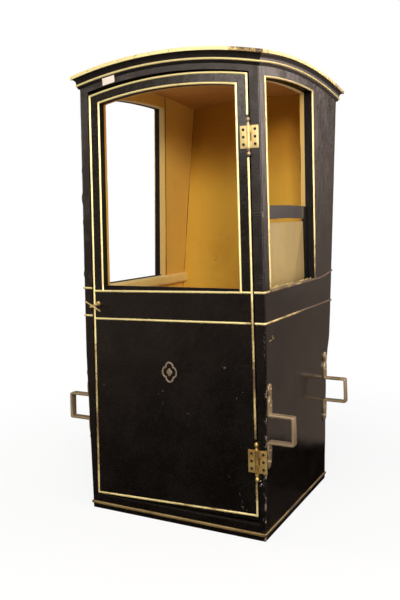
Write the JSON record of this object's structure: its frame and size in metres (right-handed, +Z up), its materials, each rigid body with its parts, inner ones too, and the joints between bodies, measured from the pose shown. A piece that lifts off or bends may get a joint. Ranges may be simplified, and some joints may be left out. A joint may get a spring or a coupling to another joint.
{
  "type": "sedan chair",
  "caption": "Upright one-seat sedan chair: leather-covered cabin with arched roof, hinged front door, drop windows, silk lining and iron loops for carrying poles.",
  "frame": {"origin": "on the floor under the middle of the roof", "axes": "+Z up, -Y out of the door, +X towards the hinge side of the door"},
  "size_m": [0.892, 0.921, 1.6753],
  "materials": {
    "leather": "aged black leather, dull with worn scuffs",
    "gilt": "gilt beading, dulled, worn through in places",
    "brass": "old brass, tarnished",
    "iron": "forged iron with bronze-brown patina",
    "timber": "dark stained timber",
    "silk": "faded ochre silk, stained",
    "cushion": "ochre silk seat cushion",
    "glass": "old clear glass, faintly yellow"
  },
  "bodies": {
    "cabin": {"base_frame": "timber", "floor_board": "timber", "front_post_left": "leather", "front_post_right": "leather", "rear_post_left": "leather", "rear_post_right": "leather", "side_panel_left": "leather", "side_panel_right": "leather", "quarter_panel_left": "leather", "quarter_panel_right": "leather", "side_head_rail_left": "leather", "side_head_rail_right": "leather", "back_panel_lower": "leather", "back_panel_upper": "leather", "front_head_rail": "leather", "roof_board": "leather", "roof_edge_strip": "gilt", "ceiling_lining": "silk", "cornice_front": "leather", "cornice_rear": "leather", "cornice_left": "leather", "cornice_right": "leather", "cornice_bead": "gilt", "plinth_bead": "gilt", "waist_bead": "gilt", "back_bead": "gilt", "window_bead_left": "gilt", "window_bead_right": "gilt", "lining_left": "silk", "lining_right": "silk", "lining_back": "silk", "seat_board": "timber", "seat_front": "timber", "seat_cushion": "cushion", "sash_right": "timber", "sash_glass_right": "glass", "sash_left": "timber", "pole_bracket_front_left": "iron", "pole_bracket_front_right": "iron", "pole_bracket_rear_left": "iron", "pole_bracket_rear_right": "iron", "post_hinge_leaves": "brass"},
    "door": {"door_stile_left": "leather", "door_stile_right": "leather", "door_panel": "leather", "door_head_rail": "leather", "door_lining": "silk", "door_beads": "gilt", "door_sash": "timber", "door_hinge_leaves": "brass", "latch": "brass"}
  },
  "joints": [
    {"name": "door_hinge", "type": "hinge", "parent": "cabin", "child": "door", "pos_m": [0.32125, -0.436, 0.8], "axis": [0, 0, 1], "range_deg": [0, 165]}
  ]
}
